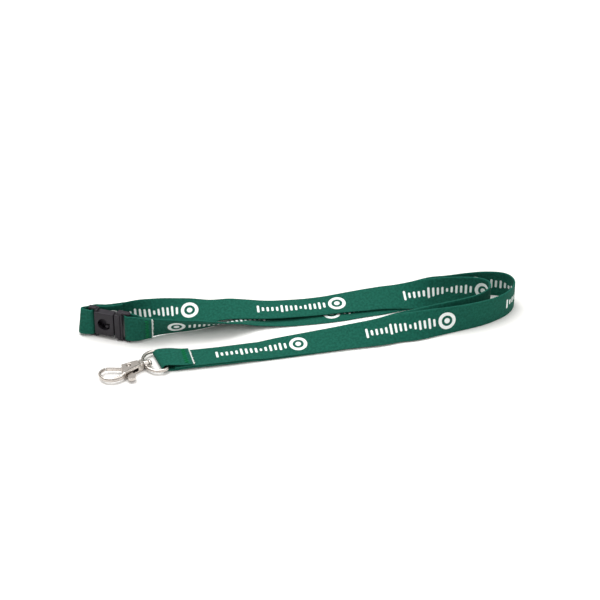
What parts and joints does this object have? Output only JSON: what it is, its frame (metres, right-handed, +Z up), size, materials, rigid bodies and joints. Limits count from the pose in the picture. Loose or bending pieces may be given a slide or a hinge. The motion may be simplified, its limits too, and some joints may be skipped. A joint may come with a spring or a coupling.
{
  "type": "neck lanyard",
  "caption": "Woven neck lanyard with a swivel snap hook and a pull-apart safety buckle, lying doubled over.",
  "frame": {"origin": "under the middle of the bounding box, on the surface that the lanyard lies on", "axes": "+X along the doubled strap, from the hook and buckle to the bend; +Y from the hook side to the buckle side; +Z up"},
  "size_m": [0.2294, 0.0819, 0.0176],
  "materials": {
    "webbing": "woven polyester, dyed dark green with a white repeat print",
    "thread": "bright green sewing thread",
    "nickel": "nickel-plated die-cast zinc",
    "spring_steel": "drawn wire",
    "black_plastic": "moulded, finely textured"
  },
  "bodies": {
    "strap": {"strap_outer": "webbing", "strap_inner": "webbing", "hook_stitching": "thread", "tongue_stitching": "thread", "buckle_tongue": "black_plastic"},
    "socket": {"buckle_socket": "black_plastic", "strap_inner_loop": "webbing", "socket_stitching": "thread"},
    "ring": {"swivel_ring": "nickel"},
    "hook": {"hook_body": "nickel", "swivel_rivet": "nickel", "lever_pin": "nickel", "lever_spring": "spring_steel"},
    "lever": {"lever": "nickel"}
  },
  "joints": [
    {"name": "buckle_release", "type": "slide", "parent": "strap", "child": "socket", "axis": [-0.9511, 0.309, 0], "range_m": [0, 0.012]},
    {"name": "ring_pivot", "type": "hinge", "parent": "strap", "child": "ring", "pos_m": [-0.07003, -0.02199, 0.0022], "axis": [-0.4067, 0.9135, 0], "range_deg": [-90, 90]},
    {"name": "hook_swivel", "type": "hinge", "parent": "ring", "child": "hook", "pos_m": [-0.0714, -0.0226, 0.0022], "axis": [-0.9135, -0.4067, 0], "continuous": true},
    {"name": "lever_pivot", "type": "hinge", "parent": "hook", "child": "lever", "pos_m": [-0.08651, -0.02922, 0.0022], "axis": [0, 0, 1], "range_deg": [0, 26], "stiffness_Nm_per_rad": 0.01, "springref_deg": -20.05}
  ]
}
